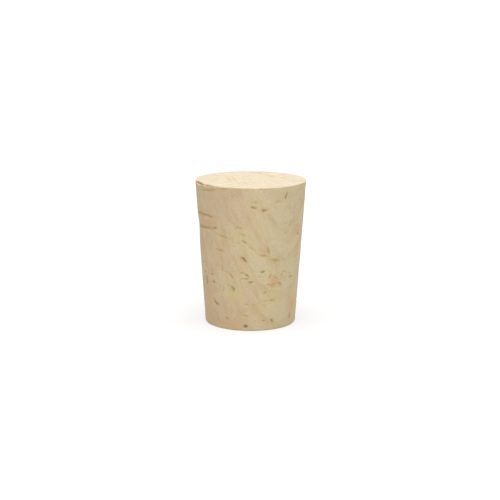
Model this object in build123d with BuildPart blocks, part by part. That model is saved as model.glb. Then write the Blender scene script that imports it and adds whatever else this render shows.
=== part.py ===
from build123d import *
import os

# A tapered cork stopper, cut in one piece from natural cork.
# It stands on its narrow end. The origin is the middle of that end and +Z runs up the axis.
# Angles go round the axis in degrees from the front, which is -Y, to the right, which is +X.

# Driving sizes, in millimetres
top_diameter = 22.0
bottom_diameter = 18.0
height = 28.6
top_edge_round = 0.15
bottom_edge_round = 0.3

# The bark grew outwards along this direction, so the pores run through the cork this way
bark_angle = 25.0

# An open pore is a long pocket in the side with round ends, narrowing towards its floor
pore_depth = 0.4
pore_wall_lean = 20.0
pore_tool_lift = 0.2

# Each pore: angle, share of the height, length, width, and its length's turn from level
pores = [
    (39.7, 0.93, 1.3, 0.9, 75),
    (29.3, 0.90, 0.9, 0.6, 0),
    (14.1, 0.85, 1.0, 0.7, 0),
    (3.5, 0.86, 1.1, 0.7, -15),
    (-12.5, 0.72, 1.2, 0.6, 0),
    (-6.4, 0.63, 1.3, 0.7, -35),
    (-7.3, 0.51, 1.4, 0.8, -40),
    (-31.0, 0.66, 2.8, 0.6, -12),
    (-35.7, 0.56, 1.9, 0.6, -10),
    (18.1, 0.54, 2.4, 0.7, -10),
    (30.0, 0.49, 1.6, 0.8, -35),
    (13.9, 0.42, 1.0, 0.7, -15),
    (-6.6, 0.41, 1.7, 0.6, -10),
    (0.6, 0.35, 1.0, 0.8, 0),
    (-25.4, 0.40, 1.8, 0.7, -40),
    (-21.4, 0.31, 1.4, 0.9, -55),
    (-48.5, 0.33, 1.1, 0.7, 0),
    (-46.0, 0.19, 2.0, 0.8, -50),
    (33.1, 0.34, 1.6, 1.2, 0),
    (54.8, 0.35, 1.2, 0.8, 0),
    (17.6, 0.27, 0.9, 0.6, 0),
    (27.0, 0.21, 1.0, 0.7, 0),
    (-6.2, 0.11, 1.1, 0.6, 0),
    (-5.6, 0.045, 0.9, 0.7, 0),
]

# A pore that runs along the left side opens as a long level groove in it
groove_shares = [0.705, 0.79]
groove_start_angle = -91.0
groove_end_angle = -40.0
groove_width = 0.6
groove_depth = 0.4

# A flake is broken out of the top edge at the left
chip_angle = -69.0
chip_length = 4.4
chip_inward = 0.55
chip_drop = 0.5
chip_wall_lean = 25.0

top_radius = top_diameter / 2
bottom_radius = bottom_diameter / 2


def radius_at(share):
    """The cork's radius at a share of its height."""
    return bottom_radius + (top_radius - bottom_radius) * share


def far_angle(angle):
    """Where a pore that opens at this angle comes out on the far side."""
    return 2 * bark_angle + 180 - angle


def side_plane(angle, share):
    """A plane that touches the side, facing out of it, with its x level and to the right."""
    outward = Vector(0, -height, bottom_radius - top_radius).rotate(Axis.Z, angle)
    level = Vector(1, 0, 0).rotate(Axis.Z, angle)
    on_side = Vector(0, -radius_at(share), height * share).rotate(Axis.Z, angle)
    return Plane(origin=on_side, x_dir=level, z_dir=outward)


with BuildPart() as stopper:
    # The tapered body with its end edges just rounded
    with BuildSketch(Plane.XZ):
        with BuildLine():
            Polyline((0, 0), (bottom_radius, 0), (top_radius, height), (0, height), close=True)
        make_face()
    revolve(axis=Axis.Z)
    rims = stopper.edges().filter_by(GeomType.CIRCLE).sort_by(Axis.Z)
    fillet(rims[-1], top_edge_round)
    rims = stopper.edges().filter_by(GeomType.CIRCLE).sort_by(Axis.Z)
    fillet(rims[0], bottom_edge_round)

    # The pores, each open on the near side and again where it comes out on the far side
    for angle, share, length, width, turn in pores:
        for mouth_angle, mouth_turn in ((angle, turn), (far_angle(angle), -turn)):
            with BuildSketch(side_plane(mouth_angle, share).offset(pore_tool_lift)):
                SlotOverall(length, width, rotation=mouth_turn)
    extrude(amount=-pore_depth - pore_tool_lift, taper=pore_wall_lean, mode=Mode.SUBTRACT)

    # The grooves, swung round the axis at the left
    groove_swing = groove_end_angle - groove_start_angle
    groove_plane = Plane(
        origin=(0, 0, 0),
        x_dir=Vector(0, -1, 0).rotate(Axis.Z, groove_start_angle),
        z_dir=Vector(-1, 0, 0).rotate(Axis.Z, groove_start_angle),
    )
    for share in groove_shares:
        with BuildSketch(groove_plane):
            with Locations((radius_at(share), height * share)):
                Ellipse(groove_depth, groove_width / 2)
    revolve(axis=Axis.Z, revolution_arc=groove_swing, mode=Mode.SUBTRACT)

    # The chip in the top edge
    with BuildSketch(Plane.XY.offset(height)):
        with PolarLocations(top_radius, 1, start_angle=chip_angle - 90):
            SlotOverall(chip_length, 2 * chip_inward, rotation=90)
    extrude(amount=-chip_drop, taper=chip_wall_lean, mode=Mode.SUBTRACT)

stopper.part.label = "stopper"

os.makedirs("parts", exist_ok=True)
export_step(stopper.part, "parts/stopper.step")
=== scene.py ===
import math
import random
import bmesh
import bpy
from mathutils import Matrix, Vector, noise
from mathutils.kdtree import KDTree


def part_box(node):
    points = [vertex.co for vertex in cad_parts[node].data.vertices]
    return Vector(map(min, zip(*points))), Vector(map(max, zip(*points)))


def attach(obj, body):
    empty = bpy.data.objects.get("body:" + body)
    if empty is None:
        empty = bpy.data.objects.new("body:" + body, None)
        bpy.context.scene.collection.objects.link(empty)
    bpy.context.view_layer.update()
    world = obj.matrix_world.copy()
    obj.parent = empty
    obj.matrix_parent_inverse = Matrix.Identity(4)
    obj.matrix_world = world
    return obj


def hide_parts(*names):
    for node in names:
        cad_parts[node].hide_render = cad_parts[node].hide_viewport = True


# Natural cork stopper, one ground piece of bark, standing on its narrow end.
# The mesh is worked in millimetres and turned to metres at the end.
# Angles go round the cork in degrees from the front (-Y), positive to the right (+X).

mm = 0.001
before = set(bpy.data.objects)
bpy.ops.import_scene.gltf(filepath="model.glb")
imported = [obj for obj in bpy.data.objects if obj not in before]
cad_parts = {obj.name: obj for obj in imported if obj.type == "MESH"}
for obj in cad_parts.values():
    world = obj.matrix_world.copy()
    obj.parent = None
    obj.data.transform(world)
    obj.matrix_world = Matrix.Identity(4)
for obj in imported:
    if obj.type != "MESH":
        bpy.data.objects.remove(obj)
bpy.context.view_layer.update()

cork = {
    # the body, sizes in mm
    "columns": 216,              # faces round the side
    "rowHeight": 0.3,            # of the faces before they are divided
    "roundSteps": 4,             # faces across a rounded edge
    "topRound": 0.15,            # the wide end has a crisp edge
    "baseRound": 0.32,           # the narrow end is a little worn
    "waviness": 0.07,            # how far the ground side wanders
    "waveLength": 7.0,
    "endWaviness": 0.03,         # the same on the sliced ends
    "endWaveLength": 5.0,
    "fineWaviness": 0.02,        # and all over
    "fineWaveLength": 1.3,
    "endTurn": (0.6, 0.9),       # how far a face looks up or down where the side becomes an end
    # in two rounds, edges longer than the first number are halved as far round a mark as the second
    "divide": ((0.12, 0.3), (0.06, 0.12)),
    # the bark that it was cut from
    "barkAngle": 25.0,           # the pores run along this direction
    "ringAngle": 42.0,           # the growth rings face this way
    "ringTilt": 18.0,            # and lean back from the axis by this much
    "ringSpacing": 2.3,          # mm of bark grown in a year
    # open pores
    "poreDepth": 0.5,            # mm, of the deepest
    "depthPerWidth": 0.55,
    "paleDepth": 0.35,           # share of its depth that the palest pore has
    "endPoreDepth": 0.6,         # share, because pores lie along the ends
    "bend": 0.65,                # how far a pore strays sideways, as a share of half its width
    "bendPerWidth": 1.2,         # and less in one that is long and thin
    "bendStep": 0.4,             # mm between bends, on top of its width
    "plumpness": (0.85, 0.6),    # its usual width, and how much that changes along it
    "swellRate": 1.7,            # changes of width for each bend
    "ragged": 0.38,              # how far its rim is uneven
    "raggedSize": 0.28,          # mm
    "raggedStretch": 0.4,        # the unevenness is drawn out in a long pore,
    "raggedLongest": 4.0,        # up to this many times
    "floor": (0.8, 0.4),         # the usual share of its depth, and how much that changes
    "floorSize": 0.33,           # mm
    # how each thing fades outwards, from 0 in the middle of a pore to 1 at its rim
    "wallFade": (0.35, 1.3),
    "shadeFade": (0.55, 1.3),
    "rustFade": (0.9, 1.9),
    "ochreFade": (1.0, 2.4),
    "rustHalo": 0.7,
    "ochreHalo": 0.6,
    "haloWidth": 1.0,            # mm, no pore colours more than this round it
    # furrows of the growth rings
    "furrowWidth": 0.95,         # mm
    "furrowDepth": 0.055,        # mm
    "furrowFade": (0.0, 1.15),
    # flakes and crumbs broken from the edges
    "breakRough": (0.5, 0.25),   # how coarse and fine lumps change the size of the hollow
    "breakSize": (0.7, 0.25),    # mm
    "breakReach": 1.6,           # times its half size, the most that a lump adds
    "breakSpread": 1.5,          # more of the small faces round it than round a pore
    "brokenFade": (0.02, 0.12),  # mm in
    # painted shade in the pore colour of a broken edge: how far in it fades, a little on the ledge, more on
    # the wall
    "breakShadeFade": (0.04, 0.3),    # mm in
    "ledgeShade": 0.12,
    "wallPaintedShade": 0.83,           # more painted shade, on the wall left under the end's edge
    "wallTurn": (0.5, 0.9),      # how far a face looked up or down before it became that wall
    # edges of the stains
    "stainRough": (0.7, 0.3),
    "stainSize": (0.8, 0.3),     # mm
    "stainFade": (0.1, 1.5),
    # marks by chance where the photo doesn't show the cork, sizes in mm
    "seed": 8,
    "backPores": {
        "count": 74, "angles": (88, 272), "edgeGap": 0.8,
        "sizes": (0.45, 0.55, 0.6, 0.7, 0.9, 1.2),
        "length": (1.1, 1.9), "width": (0.55, 0.8),    # times the size
        "longest": 7.0, "leastFacing": 0.1,            # times longer where it runs along the surface
        "faceOn": 0.6, "turn": 28, "turnAlong": 6,     # degrees off level, face on and along it
        "dark": (0.3, 0.85), "rust": (0.1, 0.2, 0.3, 0.5, 0.9),
    },
    "backFurrows": {"count": 44, "angles": (80, 285), "edgeGap": 1.5, "length": (2.4, 4.8),
                    "turn": 0.12, "strength": (0.4, 0.9)},    # its turn is in radians
    "backCrumbs": {"count": 20, "angles": (80, 280), "length": (0.4, 1.6),
                   "inward": (0.1, 0.25), "drop": (0.1, 0.3)},
    "baseCrumbs": {"count": 26, "angles": (0, 360), "length": (0.4, 1.6),
                   "inward": (0.1, 0.22), "drop": (0.1, 0.3)},
}

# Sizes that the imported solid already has
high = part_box("stopper")[1]
height = high.z / mm
topRadius = high.x / mm
roundingGap = 0.1    # mm over the rounded edge, so that its upper ring of points is found
baseBand = cork["baseRound"] + roundingGap
baseRadius = max(math.hypot(v.co.x, v.co.y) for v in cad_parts["stopper"].data.vertices
                 if v.co.z < baseBand * mm) / mm
print("cork: height", round(height, 2), "top radius", round(topRadius, 2),
      "base radius", round(baseRadius, 2))


def radiusAt(z):
    return baseRadius + (topRadius - baseRadius) * z / height


def smooth(edge0, edge1, x):
    # 0 up to the first edge, 1 from the second, and soft between them
    k = min(1.0, max(0.0, (x - edge0) / (edge1 - edge0)))
    return k * k * (3 - 2 * k)


def wrapped(angle):
    # the same angle, from -pi to pi
    return (angle + math.pi) % (2 * math.pi) - math.pi


def ripple(co, length, shift=0):
    # soft waves of about this length, from 0 to 1
    return 0.5 + 0.5 * noise.noise(co / length + Vector((shift, shift, shift)))


def onSide(angle, z):
    # the point of the side at an angle and a height
    r = radiusAt(z)
    return Vector((r * math.sin(angle), -r * math.cos(angle), z))


# Open pores on the side, as they show from the front, roughly from the top down:
# angle, height, length, width, turn from level, darkness, rust.
# A pore's place in the list sets its ragged shape, so a new one goes at the end.
sidePores = [
    (-3.4, 28.2, 0.6, 0.3, 0, 0.4, 0.2),
    (-50.0, 27.5, 4.6, 0.35, 7, 0.55, 0.3),
    (-28.0, 28.1, 1.6, 0.3, 3, 0.5, 0.2),
    (39.7, 26.7, 1.4, 0.75, 78, 0.7, 0.2),
    (29.3, 25.8, 1.0, 0.5, 5, 0.3, 0.5),
    (4.5, 25.8, 0.7, 0.4, 0, 0.3, 0.2),
    (3.0, 24.8, 1.3, 0.75, -25, 0.5, 0.2),
    (14.1, 24.2, 1.1, 0.6, -8, 0.64, 0.5),
    (2.0, 23.8, 1.0, 0.3, -10, 0.4, 0.1),
    (-65.0, 22.4, 9.6, 0.75, 0, 0.46, 0.5),
    (-65.0, 19.8, 9.4, 0.7, 5, 0.5, 0.5),
    (-41.8, 20.3, 0.8, 0.7, 60, 0.6, 0.3),
    (-12.5, 20.7, 1.3, 0.5, -4, 0.4, 0.2),
    (60.5, 20.4, 0.9, 0.4, 5, 0.2, 0.5),
    (64.0, 18.7, 0.8, 0.5, 0, 0.48, 0.8),
    (41.4, 19.3, 0.8, 0.5, 10, 0.4, 0.1),
    (-7.7, 19.4, 1.2, 0.4, -22, 0.4, 0.1),
    (-31.5, 18.8, 2.9, 0.5, -14, 0.38, 0.5),
    (-6.4, 18.0, 1.4, 0.6, -35, 0.48, 0.1),
    (0.4, 16.8, 2.2, 0.35, -40, 0.35, 0.1),
    (-35.7, 15.9, 1.9, 0.55, -8, 0.4, 0.6),
    (20.0, 16.2, 1.4, 0.55, -72, 0.36, 0.7),
    (15.5, 15.2, 1.8, 0.5, -6, 0.4, 0.4),
    (-7.3, 14.5, 1.5, 0.7, -40, 0.76, 0.6),
    (30.0, 14.0, 1.7, 0.75, -32, 0.38, 0.2),
    (-34.2, 12.5, 1.8, 0.45, 88, 0.5, 0.2),
    (13.9, 12.0, 1.0, 0.65, -20, 0.66, 0.1),
    (-9.8, 11.8, 1.0, 0.45, -5, 0.55, 0.1),
    (-3.6, 11.4, 1.1, 0.55, -32, 0.6, 0.1),
    (42.5, 11.6, 1.4, 0.5, -8, 0.5, 0.2),
    (38.5, 10.9, 1.1, 0.35, 80, 0.5, 0.2),
    (23.0, 11.2, 1.4, 0.45, 85, 0.45, 0.2),
    (-28.0, 11.6, 1.1, 0.45, -18, 0.3, 0.2),
    (-22.6, 11.0, 1.3, 0.6, -58, 0.5, 0.1),
    (-50.5, 10.7, 1.1, 0.45, 0, 0.5, 0.5),
    (-4.9, 10.6, 1.1, 0.35, 0, 0.62, 0.1),
    (-63.2, 9.2, 2.0, 0.9, 84, 0.8, 0.2),
    (0.6, 10.0, 1.1, 0.65, 0, 0.55, 0.2),
    (54.8, 10.0, 1.2, 0.7, 10, 0.45, 0.2),
    (31.0, 10.5, 1.1, 0.45, -35, 0.3, 0.5),
    (27.0, 9.2, 0.9, 0.8, 20, 0.08, 0.8),
    (36.5, 9.1, 1.1, 0.7, -38, 0.42, 0.5),
    (11.0, 10.9, 1.4, 0.35, -8, 0.3, 0.1),
    (21.8, 9.4, 0.7, 0.55, 0, 0.35, 0.2),
    (17.8, 6.0, 0.7, 0.5, 0, 0.25, 0.1),
    (-63.0, 12.0, 1.2, 0.4, 80, 0.5, 0.2),
    (-48.5, 9.3, 1.0, 0.65, 0, 0.56, 0.4),
    (-21.0, 8.5, 1.4, 0.75, -52, 0.62, 0.1),
    (-33.6, 8.0, 1.2, 0.5, 85, 0.4, 0.3),
    (17.6, 7.7, 0.9, 0.6, -15, 0.42, 0.2),
    (27.0, 6.0, 1.2, 0.65, 8, 0.4, 0.3),
    (-46.8, 5.2, 2.1, 0.8, -35, 0.62, 0.3),
    (-4.4, 5.3, 0.7, 0.5, 0, 0.4, 0.2),
    (4.9, 5.3, 0.7, 0.45, 0, 0.35, 0.2),
    (-6.2, 3.1, 1.2, 0.45, -8, 0.35, 0.3),
    (-29.4, 2.3, 0.7, 0.45, 0, 0.45, 0.8),
    (16.1, 2.1, 0.9, 0.4, 0, 0.62, 0.2),
    (27.5, 1.9, 1.0, 0.6, -42, 0.62, 0.2),
    (58.6, 2.1, 1.1, 0.45, 82, 0.55, 0.8),
    (-5.6, 0.9, 0.9, 0.65, 0, 1.0, 0.1),
    (-65.4, 10.8, 0.8, 0.7, 10, 0.6, 0.2),
]

# Faint dark furrows where a growth ring comes out at the side: angle, height, length, turn, strength
ringMarks = [
    (-24, 26.1, 3.4, -76, 0.6), (-18, 23.1, 3.6, -63, 0.8),
    (-7.5, 25.0, 2.7, -68, 0.5), (-1.5, 22.5, 3.2, -64, 0.6), (6.5, 19.2, 4.5, -68, 0.5),
    (-23.5, 22.3, 4.6, -43, 0.6), (-24.5, 13.9, 2.6, -68, 0.6), (-16.5, 7.1, 2.8, -71, 0.5),
    (7.5, 7.3, 3.1, -66, 0.5), (16.0, 5.2, 2.4, -43, 0.4),
    (-47.0, 17.9, 3.8, 84, 0.5), (-58.0, 17.5, 4.0, 78, 0.6), (-35.0, 5.2, 4.0, -85, 0.5),
    (-23.0, 3.7, 3.1, -83, 0.6), (45.0, 25.0, 5.0, -86, 0.5), (52.5, 24.0, 4.6, -88, 0.5),
    (8.5, 19.2, 2.8, -59, 0.5), (16.0, 17.4, 2.3, -43, 0.5),
    (-10.0, 19.5, 3.6, -56, 0.9), (0.0, 17.1, 3.0, -47, 1.0),
    (11.5, 15.4, 3.0, -31, 0.9), (25.5, 14.2, 3.0, -18, 0.9),
    (18.5, 19.8, 4.0, -70, 0.4), (-14.5, 3.6, 3.5, 63, 0.4), (21.0, 6.5, 3.8, 79, 0.4),
    (-33.5, 12.6, 2.6, -67, 0.6),
]

# Pores that run along an end: x, y, length, width, turn off the bark's direction, darkness, rust
topPores = [
    (-4.3, -0.3, 5.6, 0.34, -12, 0.35, 0.3),
    (-3.2, -0.6, 7.2, 0.30, -16, 0.3, 0.2),
    (-1.4, 0.7, 2.4, 0.34, 20, 0.3, 0.2),
    (-1.1, -4.4, 2.2, 0.40, 0, 0.3, 0.2),
    (3.6, 4.6, 4.4, 0.35, 4, 0.35, 0.3),
    (6.8, 1.2, 3.0, 0.30, -5, 0.25, 0.3),
    (1.9, 7.4, 2.2, 0.45, 8, 0.45, 0.4),
    (-7.0, 4.6, 2.6, 0.35, 3, 0.35, 0.4),
    (5.1, -4.2, 1.2, 0.30, 0, 0.2, 0.2),
]
basePores = [
    (-2.2, 1.0, 6.5, 0.45, -4, 0.8, 0.7),
    (3.1, -1.6, 4.2, 0.40, 6, 0.7, 0.6),
    (1.2, 5.2, 2.0, 0.50, 0, 0.8, 0.5),
    (5.6, 3.4, 2.8, 0.35, -6, 0.6, 0.6),
    (-5.4, -3.0, 2.4, 0.40, 5, 0.7, 0.5),
    (-0.4, -5.6, 1.1, 0.50, 0, 0.8, 0.4),
]

# Soft stains: angle, height, how wide and how tall, strength, and 1 where it is warm or 0 where it is ochre
stains = [
    (-52.0, 21.2, 6.0, 1.5, 0.8, 1),
    (-55.0, 23.3, 4.0, 1.2, 0.5, 1),
    (-33.0, 17.2, 2.6, 1.8, 0.6, 1),
    (-13.5, 14.6, 4.6, 1.4, 0.5, 1),
    (14.1, 24.2, 2.4, 1.3, 0.5, 1),
    (57.0, 19.4, 3.6, 2.6, 0.8, 1),
    (14.0, 16.2, 2.8, 1.6, 0.7, 1),
    (29.0, 9.9, 2.2, 2.0, 1.0, 1),
    (-36.0, 1.4, 5.6, 1.8, 0.9, 1),
    (-18.0, 1.6, 4.0, 1.6, 0.6, 1),
    (58.0, 4.2, 2.4, 5.0, 0.9, 1),
    (-62.0, 4.0, 4.0, 7.0, 0.4, 1),
    (-8.0, 12.8, 2.0, 3.4, 0.35, 1),
    (4.0, 4.0, 5.0, 3.6, 0.3, 1),
    (-10.0, 18.6, 4.6, 3.4, 0.7, 0),
    (1.0, 16.6, 4.4, 2.6, 0.7, 0),
    (-19.0, 7.4, 3.6, 4.2, 1.0, 0),
    (-24.0, 10.4, 3.6, 2.4, 0.6, 0),
    (-5.0, 11.0, 3.6, 2.4, 0.6, 0),
    (31.0, 7.4, 3.4, 2.4, 0.8, 0),
    (22.0, 3.6, 4.6, 3.0, 0.3, 0),
    (8.0, 21.0, 4.0, 4.0, 0.4, 0),
    (10.0, 24.6, 5.0, 2.4, 0.5, 0),
]

# Soft hollows in the side: angle, height, radius, depth
dents = [
    (-84.0, 19.4, 3.0, 0.17),
    (150.0, 9.0, 5.0, 0.08),
    (70.0, 24.0, 4.0, 0.06),
]

# Flakes broken out of the edges: angle, length round the edge, how far in, how far down
chip = {"angle": -69.5, "length": 6.2, "inward": 0.62, "drop": 0.6}
topCrumbs = [
    (-53.0, 2.0, 0.36, 0.42),
    (-45.5, 3.2, 0.34, 0.40),
    (-37.0, 1.8, 0.22, 0.28),
    (-30.0, 0.9, 0.14, 0.20),
    (-3.5, 0.9, 0.18, 0.22),
    (10.2, 0.9, 0.24, 0.6),
    (27.0, 1.3, 0.14, 0.18),
]


def backPores(rnd):
    # behind, where the photo doesn't show, the same kind of pores by chance
    back = cork["backPores"]
    rows = []
    for _ in range(back["count"]):
        angle = rnd.uniform(*back["angles"])
        z = rnd.uniform(back["edgeGap"], height - back["edgeGap"])
        size = rnd.choice(back["sizes"])
        # a pore comes out short where the side faces along the bark's direction, and long beside it
        facing = max(back["leastFacing"], abs(math.cos(math.radians(angle - cork["barkAngle"]))))
        stretch = min(back["longest"], 1 / facing)
        turn = rnd.gauss(0, back["turn"] if facing > back["faceOn"] else back["turnAlong"])
        rows.append((angle, z, size * rnd.uniform(*back["length"]) * stretch,
                     size * rnd.uniform(*back["width"]), turn,
                     rnd.uniform(*back["dark"]), rnd.choice(back["rust"])))
    return rows


def backFurrows(rnd):
    # the growth rings behind, with angles in radians
    back = cork["backFurrows"]
    tilt = math.radians(cork["ringTilt"])
    rows = []
    for _ in range(back["count"]):
        angle = math.radians(rnd.uniform(*back["angles"]))
        # the way a tilted ring runs where it cuts the side
        off = math.radians(cork["ringAngle"]) - angle
        turn = math.atan2(-math.cos(tilt) * math.sin(off), math.sin(tilt))
        rows.append((angle, rnd.uniform(back["edgeGap"], height - back["edgeGap"]),
                     rnd.uniform(*back["length"]), turn + rnd.gauss(0, back["turn"]),
                     rnd.uniform(*back["strength"])))
    return rows


def madePores():
    # every pore and furrow with its place, size and depth; end is 1 on top, -1 below, 0 on the side
    rnd = random.Random(cork["seed"])
    pores = []
    for angle, z, length, width, turn, dark, rust in sidePores + backPores(rnd):
        pores.append(dict(end=0, furrow=False, angle=math.radians(angle), z=z, length=length,
                          width=width, turn=math.radians(turn), dark=dark, rust=rust))
    marks = [(math.radians(angle), z, length, math.radians(turn), strength)
             for angle, z, length, turn, strength in ringMarks]
    for angle, z, length, turn, strength in marks + backFurrows(rnd):
        pores.append(dict(end=0, furrow=True, angle=angle, z=z, length=length,
                          width=cork["furrowWidth"], turn=turn, dark=strength, rust=0))
    for end, rows in ((1, topPores), (-1, basePores)):
        for x, y, length, width, turn, dark, rust in rows:
            pores.append(dict(end=end, furrow=False, x=x, y=y, length=length, width=width,
                              turn=math.radians(cork["barkAngle"] - 90 + turn), dark=dark, rust=rust))
    seedStep = 3.7    # keeps the shapes of neighbouring pores apart
    pale = cork["paleDepth"]
    for index, pore in enumerate(pores):
        pore["seed"] = seedStep * index
        deepest = min(cork["poreDepth"], cork["depthPerWidth"] * pore["width"])
        pore["depth"] = deepest * (pale + (1 - pale) * pore["dark"])
        if pore["furrow"]:
            pore["depth"] = cork["furrowDepth"] * pore["dark"]
        if pore["end"]:
            pore["centre"] = Vector((pore["x"], pore["y"], height if pore["end"] > 0 else 0))
            pore["depth"] *= cork["endPoreDepth"]
        else:
            pore["centre"] = onSide(pore["angle"], pore["z"])
    return pores


def poreSpot(pore, co):
    # where a point lies in the pore's own length and width
    if pore["end"]:
        x, y = co.x - pore["x"], co.y - pore["y"]
    else:
        x = wrapped(math.atan2(co.x, -co.y) - pore["angle"]) * radiusAt(pore["z"])
        y = co.z - pore["z"]
    c, s = math.cos(pore["turn"]), math.sin(pore["turn"])
    return x * c + y * s, y * c - x * s


def poreReach(pore, co):
    # 0 in the middle of the pore, 1 at its ragged rim and more outside
    noiseGain = 1.6    # noise seldom goes past 0.6
    x, y = poreSpot(pore, co)
    a, b = pore["length"] / 2, pore["width"] / 2
    along = x / (2 * b + cork["bendStep"])
    bend = min(cork["bend"], cork["bendPerWidth"] * b / a)
    y -= b * bend * noise.noise(Vector((along, pore["seed"], 0))) * noiseGain
    # its width changes in another part of the noise than its bends
    usual, swell = cork["plumpness"]
    b *= usual + swell * noise.noise(Vector((along * cork["swellRate"], pore["seed"], 5)))
    stretch = min(cork["raggedLongest"], max(1.0, cork["raggedStretch"] * a / b))
    rim = Vector((x / stretch, y, pore["seed"])) / cork["raggedSize"]
    return math.hypot(x / a, y / b) + cork["ragged"] * noise.noise(rim)


def nearPore(pore, tree, margin):
    # the indexes of the points that the pore may touch
    reach = pore["length"] / 2 + margin
    near = []
    for co, i, _ in tree.find_range(pore["centre"], reach):
        x, y = poreSpot(pore, co)
        if abs(x) < reach and abs(y) < pore["width"] / 2 + margin:
            near.append(i)
    return near


def nicks():
    # the chip and the crumbs as scoops: middle on the edge, the ways round and out, half the size
    rnd = random.Random(cork["seed"] + 1)
    rows = [(chip["angle"], chip["length"], chip["inward"], chip["drop"], 1)]
    rows += [(*crumb, 1) for crumb in topCrumbs]
    for crumbs, end in ((cork["backCrumbs"], 1), (cork["baseCrumbs"], -1)):
        for _ in range(crumbs["count"]):
            rows.append((rnd.uniform(*crumbs["angles"]), rnd.uniform(*crumbs["length"]),
                         rnd.uniform(*crumbs["inward"]), rnd.uniform(*crumbs["drop"]), end))
    made = []
    for angle, length, inward, drop, end in rows:
        a = math.radians(angle)
        made.append(dict(centre=onSide(a, height if end > 0 else 0), end=end,
                         round=Vector((math.cos(a), math.sin(a), 0)),
                         out=Vector((math.sin(a), -math.cos(a), 0)),
                         half=Vector((length / 2, inward, drop))))
    return made


def nickSpot(nick, co):
    # where a point lies round, out and up from the middle of the nick
    d = co - nick["centre"]
    return Vector((d.dot(nick["round"]), d.dot(nick["out"]), d.z * nick["end"]))


def intoNick(nick, co):
    # how far a point goes in along the slanting way to the bottom of the scoop
    half = nick["half"]
    spot = nickSpot(nick, co)
    rough = 1
    for amount, size in zip(cork["breakRough"], cork["breakSize"]):
        rough += amount * noise.noise(co / size)
    slant = 0.7071    # inwards and down alike
    way = Vector((0, -slant, -slant))
    p = Vector((spot.x / half.x, spot.y / half.y, spot.z / half.z)) / rough
    w = Vector((0, way.y / half.y, way.z / half.z)) / rough
    a, b, c = w.dot(w), 2 * p.dot(w), p.dot(p) - 1
    if c >= 0:
        return 0.0
    return (-b + math.sqrt(b * b - 4 * a * c)) / (2 * a)


def blankCork():
    # half the cork's outline with its corners rounded, spun round the axis
    bm = bmesh.new()
    outline = [(0, 0), (baseRadius, 0), (topRadius, height), (0, height)]
    corners = [bm.verts.new((x, 0, z)) for x, z in outline]
    for pair in zip(corners, corners[1:]):
        bm.edges.new(pair)
    for corner, width in ((corners[1], cork["baseRound"]), (corners[2], cork["topRound"])):
        bmesh.ops.bevel(bm, geom=[corner], offset=width, offset_type="OFFSET",
                        segments=cork["roundSteps"], profile=0.5, affect="VERTICES", material=-1)
    # the straight edges, not the small ones of the rounded corners
    for e in [e for e in bm.edges if e.calc_length() > 1]:
        cuts = round(e.calc_length() / cork["rowHeight"]) - 1
        bmesh.ops.subdivide_edges(bm, edges=[e], cuts=cuts)
    bmesh.ops.spin(bm, geom=bm.verts[:] + bm.edges[:], cent=(0, 0, 0), axis=(0, 0, 1), dvec=(0, 0, 0),
                   angle=2 * math.pi, steps=cork["columns"], use_merge=True)
    bmesh.ops.remove_doubles(bm, verts=bm.verts, dist=1e-4)
    bmesh.ops.recalc_face_normals(bm, faces=bm.faces)
    return bm


def pointTree(bm):
    bm.verts.ensure_lookup_table()
    tree = KDTree(len(bm.verts))
    for v in bm.verts:
        tree.insert(v.co, v.index)
    tree.balance()
    return tree


def refine(bm, pores, scoops):
    # smaller faces where the surface is broken
    for shortest, margin in cork["divide"]:
        bm.verts.index_update()
        tree = pointTree(bm)
        wanted = set()
        for pore in pores:
            if not pore["furrow"]:
                wanted.update(nearPore(pore, tree, margin))
        for nick in scoops:
            spread = nick["half"] + Vector((margin, margin, margin)) * cork["breakSpread"]
            for co, i, _ in tree.find_range(nick["centre"], spread.length):
                spot = nickSpot(nick, co)
                if all(abs(spot[k]) < spread[k] for k in range(3)):
                    wanted.add(i)
        edges = [e for e in bm.edges if e.verts[0].index in wanted and e.verts[1].index in wanted
                 and e.calc_length() > shortest]
        bmesh.ops.subdivide_edges(bm, edges=edges, cuts=1, use_grid_fill=True)
    bmesh.ops.recalc_face_normals(bm, faces=bm.faces)
    print("refined to", len(bm.faces), "faces")


def layOut(bm):
    # one flat map of the skin, in mm on a square sheet: two half wraps of the side and two discs
    sheet, gap, discGap = 60.0, 0.7, 0.4
    upperRow = sheet / 2 - 0.2
    seam = math.radians(100)
    flat = 0.75    # a face that lies flatter than this belongs to an end
    uvLayer = bm.loops.layers.uv.new("OFBake")
    halfWrap = math.pi * topRadius
    discX = gap * 2 + halfWrap + topRadius + discGap
    for face in bm.faces:
        middle = face.calc_center_median()
        isEnd = abs(face.normal.z) > flat
        topSide = middle.z > height / 2
        middleAngle = math.atan2(middle.x, -middle.y)
        turned = (middleAngle - seam) % (2 * math.pi)
        upper = turned < math.pi
        for loop in face.loops:
            co = loop.vert.co
            if isEnd:
                discY = gap + topRadius + discGap if topSide else sheet - gap - baseRadius - discGap
                spot = (discX + co.x, discY + co.y)
            else:
                beyond = radiusAt(co.z) - math.hypot(co.x, co.y)
                up = co.z + (beyond if co.z > height / 2 else -beyond)
                angle = turned + wrapped(math.atan2(co.x, -co.y) - middleAngle)
                angle -= 0 if upper else math.pi
                spot = (gap + angle * topRadius, up + gap + (upperRow if upper else 0))
            loop[uvLayer].uv = (spot[0] / sheet, spot[1] / sheet)


# What the mesh tells the material at each point, from 0 to 1
# pore holds the dark of the pores and also the painted shade on the walls of the broken edges
maskNames = ("pore", "rust", "end", "broken", "ring", "warm", "ochre")


def dab(v, mask, amount):
    v[mask] = max(v[mask], amount)


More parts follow.
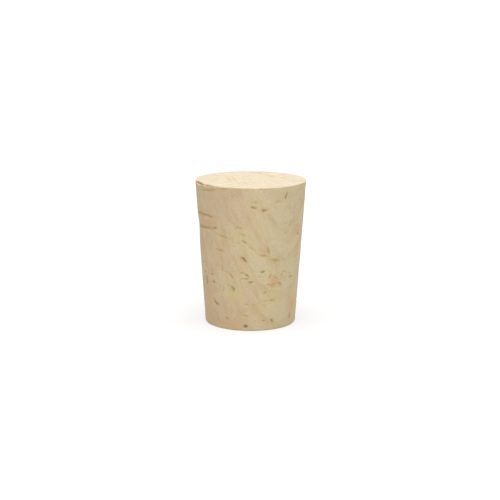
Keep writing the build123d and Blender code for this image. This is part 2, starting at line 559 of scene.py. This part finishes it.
def sinkPores(bm, tree, pores, masks):
    # how far each point sinks into a pore, and how far into a furrow
    sunk = [0.0] * len(bm.verts)
    furrowed = [0.0] * len(bm.verts)
    usual, uneven = cork["floor"]
    for pore in pores:
        for i in nearPore(pore, tree, cork["haloWidth"]):
            v = bm.verts[i]
            q = poreReach(pore, v.co)
            if pore["furrow"]:
                soft = 1 - smooth(*cork["furrowFade"], q)
                furrowed[i] = max(furrowed[i], pore["depth"] * soft)
                dab(v, masks["ring"], pore["dark"] * soft)
                continue
            spot = v.co / cork["floorSize"] + Vector((0, 0, pore["seed"]))
            floor = usual + uneven * noise.noise(spot)
            sunk[i] = max(sunk[i], pore["depth"] * (1 - smooth(*cork["wallFade"], q)) * floor)
            dab(v, masks["pore"], pore["dark"] * (1 - smooth(*cork["shadeFade"], q)))
            dab(v, masks["rust"], cork["rustHalo"] * pore["rust"] * (1 - smooth(*cork["rustFade"], q)))
            dab(v, masks["ochre"], cork["ochreHalo"] * (1 - smooth(*cork["ochreFade"], q)))
    return sunk, furrowed


def breakEdges(bm, tree, scoops, masks):
    # how far each point slides in where an edge is broken
    slid = [Vector((0, 0, 0)) for _ in bm.verts]
    for nick in scoops:
        way = (-nick["out"] - Vector((0, 0, nick["end"]))).normalized()
        for co, i, _ in tree.find_range(nick["centre"], nick["half"].length * cork["breakReach"]):
            go = intoNick(nick, co)
            if go > slid[i].length:
                v = bm.verts[i]
                slid[i] = way * go
                v[masks["broken"]] = smooth(*cork["brokenFade"], go)
                # painted shade: the wall left under the end's edge gets the dark pore colour where it would
                # be in shade, and the ledge below it, which is pale, gets only a little
                wall = smooth(*cork["wallTurn"], abs(v.normal.z))
                shade = cork["ledgeShade"] + cork["wallPaintedShade"] * wall
                v[masks["pore"]] = smooth(*cork["breakShadeFade"], go) * shade
    return slid


def stain(v, co, masks):
    # soft patches of colour on the side
    angle = math.atan2(co.x, -co.y)
    for stainAngle, z, wide, tall, strength, tint in stains:
        x = wrapped(angle - math.radians(stainAngle)) * radiusAt(co.z) / (wide / 2)
        y = (co.z - z) / (tall / 2)
        if abs(x) < 2 and abs(y) < 2:
            edge = math.hypot(x, y)
            for amount, size in zip(cork["stainRough"], cork["stainSize"]):
                edge += amount * noise.noise(co / size)
            soft = 1 - smooth(*cork["stainFade"], edge)
            dab(v, masks["warm" if tint else "ochre"], strength * soft)


def wear(bm, pores, scoops):
    # sinks the pores, breaks the edges and lets the ground surface wander, always inwards
    masks = {name: bm.verts.layers.float.new(name) for name in maskNames}
    bm.normal_update()
    bm.verts.index_update()
    tree = pointTree(bm)
    sunk, furrowed = sinkPores(bm, tree, pores, masks)
    slid = breakEdges(bm, tree, scoops, masks)
    for v in bm.verts:
        co = v.co.copy()
        isEnd = smooth(*cork["endTurn"], abs(v.normal.z))
        v[masks["end"]] = isEnd
        stain(v, co, masks)
        depth = cork["waviness"] * ripple(co, cork["waveLength"]) * (1 - isEnd)
        depth += cork["endWaviness"] * ripple(co, cork["endWaveLength"], shift=9) * isEnd
        depth += cork["fineWaviness"] * ripple(co, cork["fineWaveLength"])
        for angle, z, radius, deep in dents:
            far = (co - onSide(math.radians(angle), z)).length
            depth += deep * (1 - smooth(0, radius, far))
        v.co = co - v.normal * (depth + furrowed[v.index] + sunk[v.index]) + slid[v.index]
    print("pores", len(pores), "nicks", len(scoops))


def makeCork():
    pores, scoops = madePores(), nicks()
    bm = blankCork()
    refine(bm, pores, scoops)
    layOut(bm)
    wear(bm, pores, scoops)
    bmesh.ops.scale(bm, vec=(mm, mm, mm), verts=bm.verts)
    mesh = bpy.data.meshes.new("corkStopper")
    bm.to_mesh(mesh)
    bm.free()
    mesh.shade_smooth()
    piece = bpy.data.objects.new("corkStopper", mesh)
    bpy.context.scene.collection.objects.link(piece)
    return piece


def colour(hexText):
    # sRGB hex to the linear colour that a shader takes
    parts = [int(hexText[i:i + 2], 16) / 255 for i in (1, 3, 5)]
    return [c / 12.92 if c <= 0.04045 else ((c + 0.055) / 1.055) ** 2.4 for c in parts] + [1]


def addNode(tree, kind, inputs=None, **settings):
    node = tree.nodes.new(kind)
    for name, value in settings.items():
        setattr(node, name, value)
    for name, value in (inputs or {}).items():
        if isinstance(value, bpy.types.NodeSocket):
            tree.links.new(value, node.inputs[name])
        else:
            node.inputs[name].default_value = value
    return node


# Bare natural cork, ground smooth on the side and sliced across the ends: matt, dry, pale tan,
# with soft growth bands, a fine crumbly speckle and rusty pores. Its ends are paler.
finish = {
    # in the order in which they are laid on
    "sideColour": "#CEBE9A",
    "warmColour": "#CBB193",     # of wide patches, more of them to the left
    "endColour": "#DBCEB6",
    "bandColour": "#B79C6F",
    "fleckColour": "#BEA77E",
    "dotColour": "#A38A5E",      # of the small pores
    "ochreColour": "#CCBC85",
    "stainColour": "#CBA57D",
    "rustColour": "#BC9464",
    # of the pores, and the painted shade on the walls of the broken edges
    "poreAndPaintedShadeColour": "#9F8A62",
    # sizes in mm
    "mottleSize": 5.0,
    "streakSize": 1.0,           # between streaks
    "speckleSize": 0.32,
    "grainSize": 0.11,           # drawn coarser than the real cells so that it shows
    "dotSpacing": 1.0,           # between the small pores
    "dotRadius": 0.17,
    "relief": 0.06,              # how high it is
    # patterns are squeezed by this much, so that they come out long
    "streakSqueeze": 0.26,
    "dotSqueeze": 0.25,
    # where a pattern begins to show, where it is full, and how much it covers then
    "warmFade": {"From Min": 0.56, "From Max": 0.86, "To Max": 0.85},
    "lateFade": {"From Min": 0.5, "From Max": 1.0, "To Max": 0.2},
    "streakFade": {"From Min": 0.45, "From Max": 0.75, "To Max": 0.44},
    "fleckFade": {"From Min": 0.45, "From Max": 0.75, "To Max": 0.76},
    "dotFade": {"From Min": -0.02, "From Max": 0.06, "To Max": 0.75},
    "poreAndPaintedShadeFade": {"From Min": 0.15, "From Max": 0.95},
    "warmPerMm": 0.03,           # more warmth for each mm to the left
    "furrowTone": 0.4,           # how much the furrows are shaded
    "endTone": 0.3,              # how much the bands fade on the ends
    "dotChoice": 0.45,           # share of the cells that have no small pore
    # how much of its colour each mask brings
    "marks": {"ochre": ("ochreColour", 0.6), "warm": ("stainColour", 0.75),
              "broken": ("rustColour", 0.3), "rust": ("rustColour", 0.9)},
    # a noise is multiplied by the first and moved by the second, and then makes these uneven
    "dotRim": (0.36, -0.16),
    "markUneven": (0.9, 0.5),
    "poreCrumbled": (0.5, -0.25),
    # matt all over, with some spots drier than others
    "roughness": {"From Min": 0.3, "From Max": 0.7, "To Min": 0.78, "To Max": 0.94},
    "refraction": 1.45,
    # shares of the relief that is too fine for the mesh, where the small pores go in
    "grainRelief": 0.35,
    "speckleRelief": 0.8,
    "dotRelief": -1.2,
}


def corkMaterial():
    mat = bpy.data.materials.new("naturalCork")
    mat.use_nodes = True
    tree = mat.node_tree
    shader = tree.nodes["Principled BSDF"]
    place = addNode(tree, "ShaderNodeTexCoord").outputs["Object"]
    masks = {name: addNode(tree, "ShaderNodeAttribute", attribute_name=name).outputs["Fac"]
             for name in maskNames}

    # x runs out through the bark in mm, y round it and z up
    inMm = (1 / mm, 1 / mm, 1 / mm)
    barkTurn = (0, 0, math.radians(90 - cork["barkAngle"]))
    bark = addNode(tree, "ShaderNodeMapping", {"Vector": place, "Scale": inMm,
                                               "Rotation": barkTurn}).outputs["Vector"]
    # here x runs out through the growth rings
    ringTurn = Matrix.Rotation(math.radians(90 - cork["ringAngle"]), 3, "Z")
    lean = Matrix.Rotation(math.radians(cork["ringTilt"]), 3, "Y") @ ringTurn
    rings = addNode(tree, "ShaderNodeMapping", {"Vector": place, "Scale": inMm,
                                                "Rotation": lean.to_euler()}).outputs["Vector"]
    # small pores are long through the bark, and streaks lie flat in the rings
    squeeze = (finish["dotSqueeze"], 1, 1)
    channels = addNode(tree, "ShaderNodeMapping", {"Vector": bark, "Scale": squeeze}).outputs["Vector"]
    squeeze = (1, finish["streakSqueeze"], finish["streakSqueeze"])
    flat = addNode(tree, "ShaderNodeMapping", {"Vector": rings, "Scale": squeeze}).outputs["Vector"]

    mottle = addNode(tree, "ShaderNodeTexNoise", {"Vector": bark, "Scale": 1 / finish["mottleSize"],
                                                  "Detail": 3, "Roughness": 0.55}).outputs["Fac"]
    speckle = addNode(tree, "ShaderNodeTexNoise", {"Vector": bark, "Scale": 1 / finish["speckleSize"],
                                                   "Detail": 4, "Roughness": 0.65}).outputs["Fac"]
    grain = addNode(tree, "ShaderNodeTexNoise", {"Vector": bark, "Scale": 1 / finish["grainSize"],
                                                 "Detail": 2}).outputs["Fac"]
    # a saw wave has a period of 2 pi / 20 at a scale of 1
    ringScale = 2 * math.pi / 20 / cork["ringSpacing"]
    bands = addNode(tree, "ShaderNodeTexWave", {"Vector": rings, "Scale": ringScale, "Distortion": 5.0,
                                                "Detail": 3, "Detail Scale": 0.6,
                                                "Detail Roughness": 0.6},
                    wave_type="BANDS", bands_direction="X", wave_profile="SAW").outputs["Fac"]
    streaks = addNode(tree, "ShaderNodeTexNoise", {"Vector": flat, "Scale": 1 / finish["streakSize"],
                                                   "Detail": 3, "Roughness": 0.6,
                                                   "Distortion": 0.5}).outputs["Fac"]
    dots = addNode(tree, "ShaderNodeTexVoronoi", {"Vector": channels, "Scale": 1 / finish["dotSpacing"],
                                                  "Randomness": 1.0}).outputs

    # wide soft patches that are warmer
    across = addNode(tree, "ShaderNodeSeparateXYZ", {"Vector": bark}).outputs["Y"]
    leftward = addNode(tree, "ShaderNodeMath", {0: across, 1: -finish["warmPerMm"], 2: mottle},
                       operation="MULTIPLY_ADD").outputs[0]
    warm = addNode(tree, "ShaderNodeMapRange", {"Value": leftward, **finish["warmFade"]},
                   interpolation_type="SMOOTHSTEP").outputs[0]

    # growth bands: late wood, streaks and furrows, fainter on the ends
    late = addNode(tree, "ShaderNodeMapRange", {"Value": bands, **finish["lateFade"]},
                   interpolation_type="SMOOTHSTEP").outputs[0]
    streak = addNode(tree, "ShaderNodeMapRange", {"Value": streaks, **finish["streakFade"]},
                     interpolation_type="SMOOTHSTEP").outputs[0]
    furrow = addNode(tree, "ShaderNodeMath", {0: masks["ring"], 1: finish["furrowTone"]},
                     operation="MULTIPLY").outputs[0]
    grown = addNode(tree, "ShaderNodeMath", {0: late, 1: streak}, operation="ADD").outputs[0]
    grown = addNode(tree, "ShaderNodeMath", {0: grown, 1: furrow}, operation="ADD").outputs[0]
    onEnd = addNode(tree, "ShaderNodeMath", {0: masks["end"], 1: -finish["endTone"], 2: 1.0},
                    operation="MULTIPLY_ADD").outputs[0]
    grown = addNode(tree, "ShaderNodeMath", {0: grown, 1: onEnd}, operation="MULTIPLY").outputs[0]

    # the crumbly speckle
    fleck = addNode(tree, "ShaderNodeMapRange", {"Value": speckle, **finish["fleckFade"]},
                    interpolation_type="SMOOTHSTEP").outputs[0]

    # small pores, in some of the cells only
    chosen = addNode(tree, "ShaderNodeSeparateColor", {"Color": dots["Color"]}).outputs["Red"]
    biggest = finish["dotRadius"] / finish["dotSpacing"]
    radius = addNode(tree, "ShaderNodeMapRange", {"Value": chosen, "From Min": finish["dotChoice"],
                                                  "From Max": 1.0, "To Max": biggest}).outputs[0]
    most, shift = finish["dotRim"]
    ragged = addNode(tree, "ShaderNodeMath", {0: speckle, 1: most, 2: shift},
                     operation="MULTIPLY_ADD").outputs[0]
    dotFar = addNode(tree, "ShaderNodeMath", {0: dots["Distance"], 1: ragged},
                     operation="ADD").outputs[0]
    inside = addNode(tree, "ShaderNodeMath", {0: radius, 1: dotFar}, operation="SUBTRACT").outputs[0]
    dot = addNode(tree, "ShaderNodeMapRange", {"Value": inside, **finish["dotFade"]},
                  interpolation_type="SMOOTHSTEP").outputs[0]

    layers = [(warm, "warmColour"), (masks["end"], "endColour"), (grown, "bandColour"),
              (fleck, "fleckColour"), (dot, "dotColour")]

    # ochre and warm stains, then rust on the broken edge and in some pores, all uneven
    most, shift = finish["markUneven"]
    uneven = addNode(tree, "ShaderNodeMath", {0: speckle, 1: most, 2: shift},
                     operation="MULTIPLY_ADD").outputs[0]
    for name, (paint, share) in finish["marks"].items():
        amount = addNode(tree, "ShaderNodeMath", {0: masks[name], 1: uneven}, operation="MULTIPLY",
                         use_clamp=True).outputs[0]
        amount = addNode(tree, "ShaderNodeMath", {0: amount, 1: share}, operation="MULTIPLY").outputs[0]
        layers.append((amount, paint))

    # the dark inside of the pores, broken up by the grain, together with the painted shade on the walls of
    # the broken edges
    most, shift = finish["poreCrumbled"]
    crumbled = addNode(tree, "ShaderNodeMath", {0: grain, 1: most, 2: shift},
                       operation="MULTIPLY_ADD").outputs[0]
    shade = addNode(tree, "ShaderNodeMath", {0: masks["pore"], 1: crumbled}, operation="ADD").outputs[0]
    shade = addNode(tree, "ShaderNodeMapRange", {"Value": shade, **finish["poreAndPaintedShadeFade"]},
                    interpolation_type="SMOOTHSTEP").outputs[0]
    layers.append((shade, "poreAndPaintedShadeColour"))

    skin = colour(finish["sideColour"])
    for amount, paint in layers:
        skin = addNode(tree, "ShaderNodeMix", {0: amount, 6: skin, 7: colour(finish[paint])},
                       data_type="RGBA").outputs[2]
    tree.links.new(skin, shader.inputs["Base Color"])

    rough = addNode(tree, "ShaderNodeMapRange", {"Value": speckle, **finish["roughness"]}).outputs[0]
    tree.links.new(rough, shader.inputs["Roughness"])
    shader.inputs["IOR"].default_value = finish["refraction"]

    fine = addNode(tree, "ShaderNodeMath", {0: grain, 1: finish["grainRelief"]},
                   operation="MULTIPLY").outputs[0]
    coarse = addNode(tree, "ShaderNodeMath", {0: speckle, 1: finish["speckleRelief"], 2: fine},
                     operation="MULTIPLY_ADD").outputs[0]
    relief = addNode(tree, "ShaderNodeMath", {0: dot, 1: finish["dotRelief"], 2: coarse},
                     operation="MULTIPLY_ADD").outputs[0]
    bump = addNode(tree, "ShaderNodeBump", {"Height": relief, "Strength": 1.0,
                                            "Distance": finish["relief"] * mm})
    tree.links.new(bump.outputs["Normal"], shader.inputs["Normal"])
    print("material made,", len(layers), "colours over the plain one")
    return mat


stopper = makeCork()
stopper.data.materials.append(corkMaterial())
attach(stopper, "root")
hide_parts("stopper")
print("cork made,", len(stopper.data.polygons), "faces")

# The studio: a floor that fades to white, and soft boxes overhead, in front and at both sides behind
studio = {
    "floorSize": 8.0,            # m
    "floorColour": "#CFCFCF",    # what lights the cork from below
    "paperColour": "#9E9E9E",    # what the camera sees, with the glow on top of it
    # m from the cork, and the strength of the glow there
    "glow": {"From Min": 0.03, "From Max": 0.3, "To Min": 0.61, "To Max": 0.92},
    "skyLight": 0.47,
    # each lamp: x, y, z and size in m, power in W
    "lamps": {"overhead": (0.0, -0.06, 0.45, 0.40, 1.58), "front": (0.03, -0.55, 0.20, 0.30, 1.02),
              "rearLeft": (-0.45, 0.32, 0.20, 0.30, 0.42), "rearRight": (0.45, 0.32, 0.20, 0.30, 0.52)},
    "focalLength": 96.0,         # mm on a 36 mm sensor
    "distance": 0.2660,          # m
    "nearest": 0.01,             # m, the camera sees nothing nearer
    "aimX": -0.0001,             # m
    "lookDown": 12.14,           # degrees
    "roll": 0.27,                # degrees
}


def softBox(name, x, y, z, size, power, target):
    lamp = bpy.data.lights.new(name, "AREA")
    lamp.shape = "DISK"
    lamp.size = size
    lamp.energy = power
    holder = bpy.data.objects.new(name, lamp)
    holder.location = (x, y, z)
    holder.rotation_euler = (target - holder.location).to_track_quat("-Z", "Y").to_euler()
    bpy.context.scene.collection.objects.link(holder)


def whiteForCamera(tree, lit, shown, output):
    # what the camera and any gloss or glass see is the shown shader, and the object is lit by the other
    path = addNode(tree, "ShaderNodeLightPath").outputs
    gloss = addNode(tree, "ShaderNodeMath", {0: path["Is Camera Ray"], 1: path["Is Glossy Ray"]},
                    operation="MAXIMUM")
    seen = addNode(tree, "ShaderNodeMath", {0: gloss.outputs[0], 1: path["Is Transmission Ray"]},
                   operation="MAXIMUM")
    mix = addNode(tree, "ShaderNodeMixShader", {0: seen.outputs[0], 1: lit.outputs[0],
                                                2: shown.outputs[0]})
    tree.links.new(mix.outputs[0], output.inputs["Surface"])


def makeFloor():
    bm = bmesh.new()
    bmesh.ops.create_grid(bm, x_segments=1, y_segments=1, size=studio["floorSize"] / 2)
    mesh = bpy.data.meshes.new("floor")
    bm.to_mesh(mesh)
    bm.free()
    floor = bpy.data.objects.new("floor", mesh)
    bpy.context.scene.collection.objects.link(floor)
    mat = bpy.data.materials.new("whitePaper")
    mat.use_nodes = True
    tree = mat.node_tree
    tree.nodes.remove(tree.nodes["Principled BSDF"])
    lit = addNode(tree, "ShaderNodeBsdfDiffuse", {"Color": colour(studio["floorColour"])})
    paper = addNode(tree, "ShaderNodeBsdfDiffuse", {"Color": colour(studio["paperColour"])})
    # the glow brings the far floor up to white, and is weaker near the cork so that its shadow shows
    place = addNode(tree, "ShaderNodeTexCoord").outputs["Object"]
    far = addNode(tree, "ShaderNodeVectorMath", {0: place}, operation="LENGTH").outputs["Value"]
    lift = addNode(tree, "ShaderNodeMapRange", {"Value": far, **studio["glow"]}).outputs[0]
    glow = addNode(tree, "ShaderNodeEmission", {"Strength": lift})
    shown = addNode(tree, "ShaderNodeAddShader", {0: paper.outputs[0], 1: glow.outputs[0]})
    whiteForCamera(tree, lit, shown, tree.nodes["Material Output"])
    floor.data.materials.append(mat)


def makeSky():
    world = bpy.data.worlds.new("studioWhite")
    world.use_nodes = True
    tree = world.node_tree
    white = (1, 1, 1, 1)
    lit = addNode(tree, "ShaderNodeBackground", {"Color": white, "Strength": studio["skyLight"]})
    shown = tree.nodes["Background"]
    shown.inputs["Color"].default_value = white
    shown.inputs["Strength"].default_value = 1.0
    whiteForCamera(tree, lit, shown, tree.nodes["World Output"])
    bpy.context.scene.world = world


def makeStudio():
    makeFloor()
    makeSky()
    target = Vector((0, 0, height * mm / 2))
    for name, numbers in studio["lamps"].items():
        softBox(name, *numbers, target)

    scene = bpy.context.scene
    camera = bpy.data.objects.new("camera", bpy.data.cameras.new("camera"))
    camera.data.lens = studio["focalLength"]
    camera.data.clip_start = studio["nearest"]
    down = math.radians(studio["lookDown"])
    back = Vector((0, -math.cos(down), math.sin(down)))
    aim = target + Vector((studio["aimX"], 0, 0))
    camera.location = aim + back * studio["distance"]
    facing = (-back).to_track_quat("-Z", "Y").to_matrix()
    roll = Matrix.Rotation(math.radians(studio["roll"]), 3, "Z")
    camera.rotation_euler = (facing @ roll).to_euler()
    scene.collection.objects.link(camera)
    scene.camera = camera
    scene.view_settings.view_transform = "Standard"
    print("studio ready")


makeStudio()
